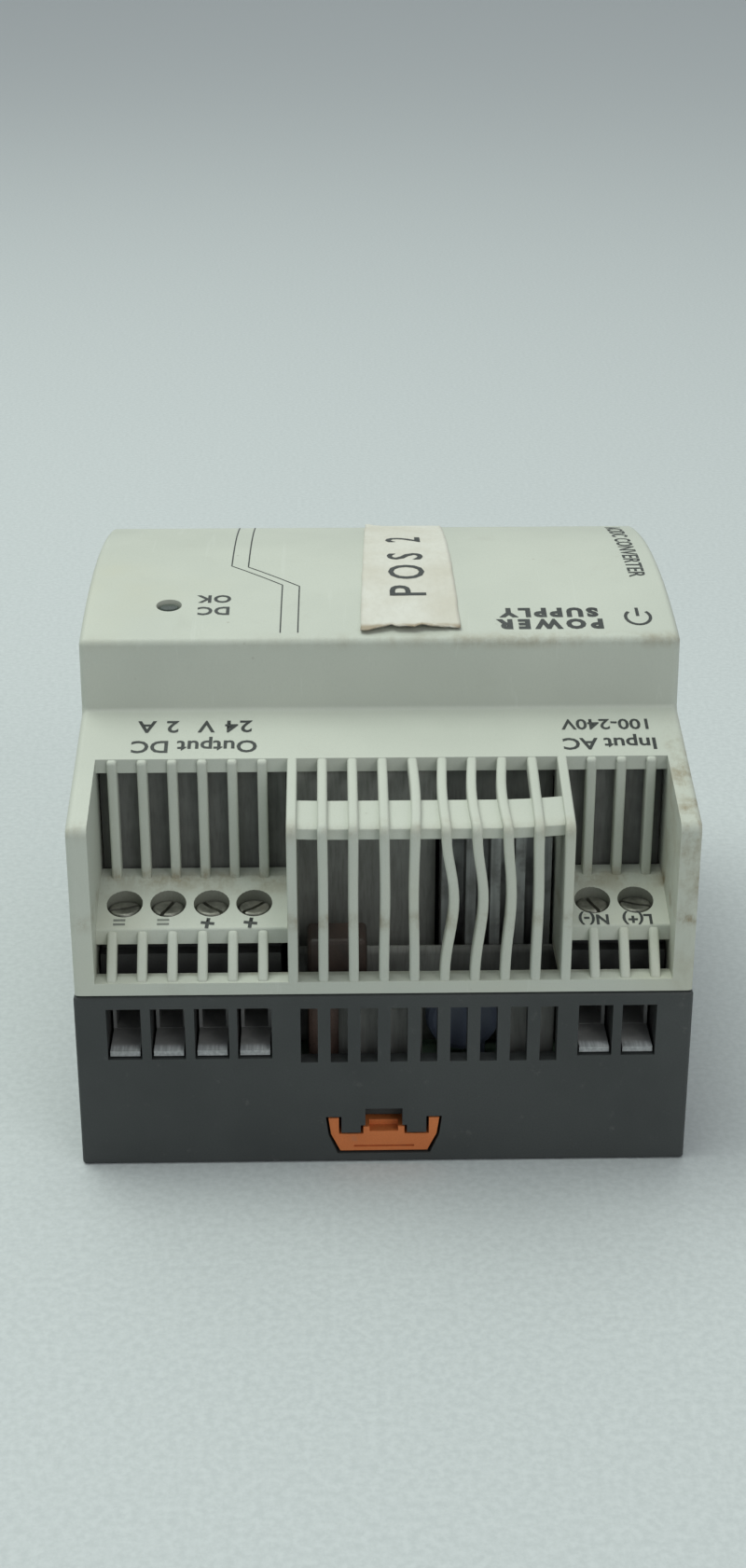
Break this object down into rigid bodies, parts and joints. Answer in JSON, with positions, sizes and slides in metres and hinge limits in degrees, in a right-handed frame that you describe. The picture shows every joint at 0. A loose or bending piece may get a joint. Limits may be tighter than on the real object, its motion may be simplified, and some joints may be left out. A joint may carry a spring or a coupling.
{
  "type": "din rail power supply",
  "caption": "Modular rail-mounted switching power supply: grey stepped cover with vent ribs, black rear housing, recessed screw terminals and an orange release foot.",
  "frame": {"origin": "centre of the rear plane, midway between both ends and both sides", "axes": "+Z towards the front of the unit, -Y towards the end with the terminals, X along the rail"},
  "size_m": [0.072, 0.09, 0.061],
  "materials": {
    "housing_black": "charcoal black moulded plastic with a fine grain",
    "cover_grey": "light grey-green moulded plastic with a fine satin grain, a little yellowed and grimy at the edges",
    "foot_orange": "dull orange moulded plastic",
    "spring_steel": "bright spring wire",
    "terminal_black": "black moulded plastic",
    "board_green": "green lacquered glass-fibre board",
    "ferrite": "dark sintered ferrite",
    "tape_yellow": "yellow polyester tape over the winding",
    "enamel_copper": "enamelled copper wire",
    "can_dark": "dark shrink sleeve over an aluminium can",
    "epoxy_blue": "blue dipped epoxy",
    "epoxy_green": "dark green dipped epoxy",
    "epoxy_brown": "reddish brown moulded case",
    "case_yellow": "dull yellow moulded case",
    "chip_black": "black moulding compound",
    "ceramic": "off-white ceramic with metal caps",
    "heatsink_grey": "dark anodised aluminium",
    "led_green": "green tinted lens",
    "clear_acrylic": "clear acrylic, a little milky",
    "zinc_steel": "zinc plated steel, dulled by handling",
    "tinned_copper": "tinned copper strip"
  },
  "bodies": {
    "housing": {"rear_housing": "housing_black", "front_cover": "cover_grey", "foot_spring": "spring_steel", "output_terminal_body": "terminal_black", "input_terminal_body": "terminal_black", "circuit_board": "board_green", "transformer_core": "ferrite", "transformer_winding": "tape_yellow", "line_choke_core": "ferrite", "line_choke_winding": "enamel_copper", "bulk_capacitor": "can_dark", "output_capacitor_1": "can_dark", "output_capacitor_2": "can_dark", "output_inductor": "enamel_copper", "suppression_capacitor": "epoxy_blue", "varistor": "epoxy_blue", "inrush_thermistor": "epoxy_green", "film_capacitor": "epoxy_brown", "line_capacitor": "case_yellow", "bridge_rectifier": "chip_black", "fuse": "ceramic", "control_chip": "chip_black", "optocoupler": "chip_black", "primary_heatsink": "heatsink_grey", "switching_transistor": "chip_black", "secondary_heatsink": "heatsink_grey", "output_rectifier": "chip_black", "status_led": "led_green", "light_guide": "clear_acrylic", "board_screw_1": "zinc_steel", "board_screw_2": "zinc_steel", "board_screw_3": "zinc_steel", "board_screw_4": "zinc_steel", "current_bar_1": "tinned_copper", "current_bar_2": "tinned_copper", "current_bar_3": "tinned_copper", "current_bar_4": "tinned_copper", "current_bar_5": "tinned_copper", "current_bar_6": "tinned_copper"},
    "foot": {"rail_foot": "foot_orange"},
    "screw_1": {"terminal_screw_1": "zinc_steel"},
    "cage_1": {"clamp_cage_1": "zinc_steel"},
    "screw_2": {"terminal_screw_2": "zinc_steel"},
    "cage_2": {"clamp_cage_2": "zinc_steel"},
    "screw_3": {"terminal_screw_3": "zinc_steel"},
    "cage_3": {"clamp_cage_3": "zinc_steel"},
    "screw_4": {"terminal_screw_4": "zinc_steel"},
    "cage_4": {"clamp_cage_4": "zinc_steel"},
    "screw_5": {"terminal_screw_5": "zinc_steel"},
    "cage_5": {"clamp_cage_5": "zinc_steel"},
    "screw_6": {"terminal_screw_6": "zinc_steel"},
    "cage_6": {"clamp_cage_6": "zinc_steel"}
  },
  "joints": [
    {"name": "foot_slide", "type": "slide", "parent": "housing", "child": "foot", "axis": [0, -1, 0], "range_m": [0, 0.004], "stiffness_N_per_m": 400},
    {"name": "screw_1_turn", "type": "hinge", "parent": "housing", "child": "screw_1", "pos_m": [-0.0303, -0.037, 0.0276], "axis": [0, 0, 1], "range_deg": [-1800, 0]},
    {"name": "cage_1_lift", "type": "slide", "parent": "housing", "child": "cage_1", "axis": [0, 0, 1], "range_m": [0, 0.0025]},
    {"name": "screw_2_turn", "type": "hinge", "parent": "housing", "child": "screw_2", "pos_m": [-0.0252, -0.037, 0.0276], "axis": [0, 0, 1], "range_deg": [-1800, 0]},
    {"name": "cage_2_lift", "type": "slide", "parent": "housing", "child": "cage_2", "axis": [0, 0, 1], "range_m": [0, 0.0025]},
    {"name": "screw_3_turn", "type": "hinge", "parent": "housing", "child": "screw_3", "pos_m": [-0.0201, -0.037, 0.0276], "axis": [0, 0, 1], "range_deg": [-1800, 0]},
    {"name": "cage_3_lift", "type": "slide", "parent": "housing", "child": "cage_3", "axis": [0, 0, 1], "range_m": [0, 0.0025]},
    {"name": "screw_4_turn", "type": "hinge", "parent": "housing", "child": "screw_4", "pos_m": [-0.0151, -0.037, 0.0276], "axis": [0, 0, 1], "range_deg": [-1800, 0]},
    {"name": "cage_4_lift", "type": "slide", "parent": "housing", "child": "cage_4", "axis": [0, 0, 1], "range_m": [0, 0.0025]},
    {"name": "screw_5_turn", "type": "hinge", "parent": "housing", "child": "screw_5", "pos_m": [0.0247, -0.037, 0.0276], "axis": [0, 0, 1], "range_deg": [-1800, 0]},
    {"name": "cage_5_lift", "type": "slide", "parent": "housing", "child": "cage_5", "axis": [0, 0, 1], "range_m": [0, 0.0025]},
    {"name": "screw_6_turn", "type": "hinge", "parent": "housing", "child": "screw_6", "pos_m": [0.0298, -0.037, 0.0276], "axis": [0, 0, 1], "range_deg": [-1800, 0]},
    {"name": "cage_6_lift", "type": "slide", "parent": "housing", "child": "cage_6", "axis": [0, 0, 1], "range_m": [0, 0.0025]}
  ],
  "couplings": [
    {"joint": "screw_1_turn", "follows": "cage_1_lift", "rad_per_m": -12566},
    {"joint": "screw_2_turn", "follows": "cage_2_lift", "rad_per_m": -12566},
    {"joint": "screw_3_turn", "follows": "cage_3_lift", "rad_per_m": -12566},
    {"joint": "screw_4_turn", "follows": "cage_4_lift", "rad_per_m": -12566},
    {"joint": "screw_5_turn", "follows": "cage_5_lift", "rad_per_m": -12566},
    {"joint": "screw_6_turn", "follows": "cage_6_lift", "rad_per_m": -12566}
  ]
}
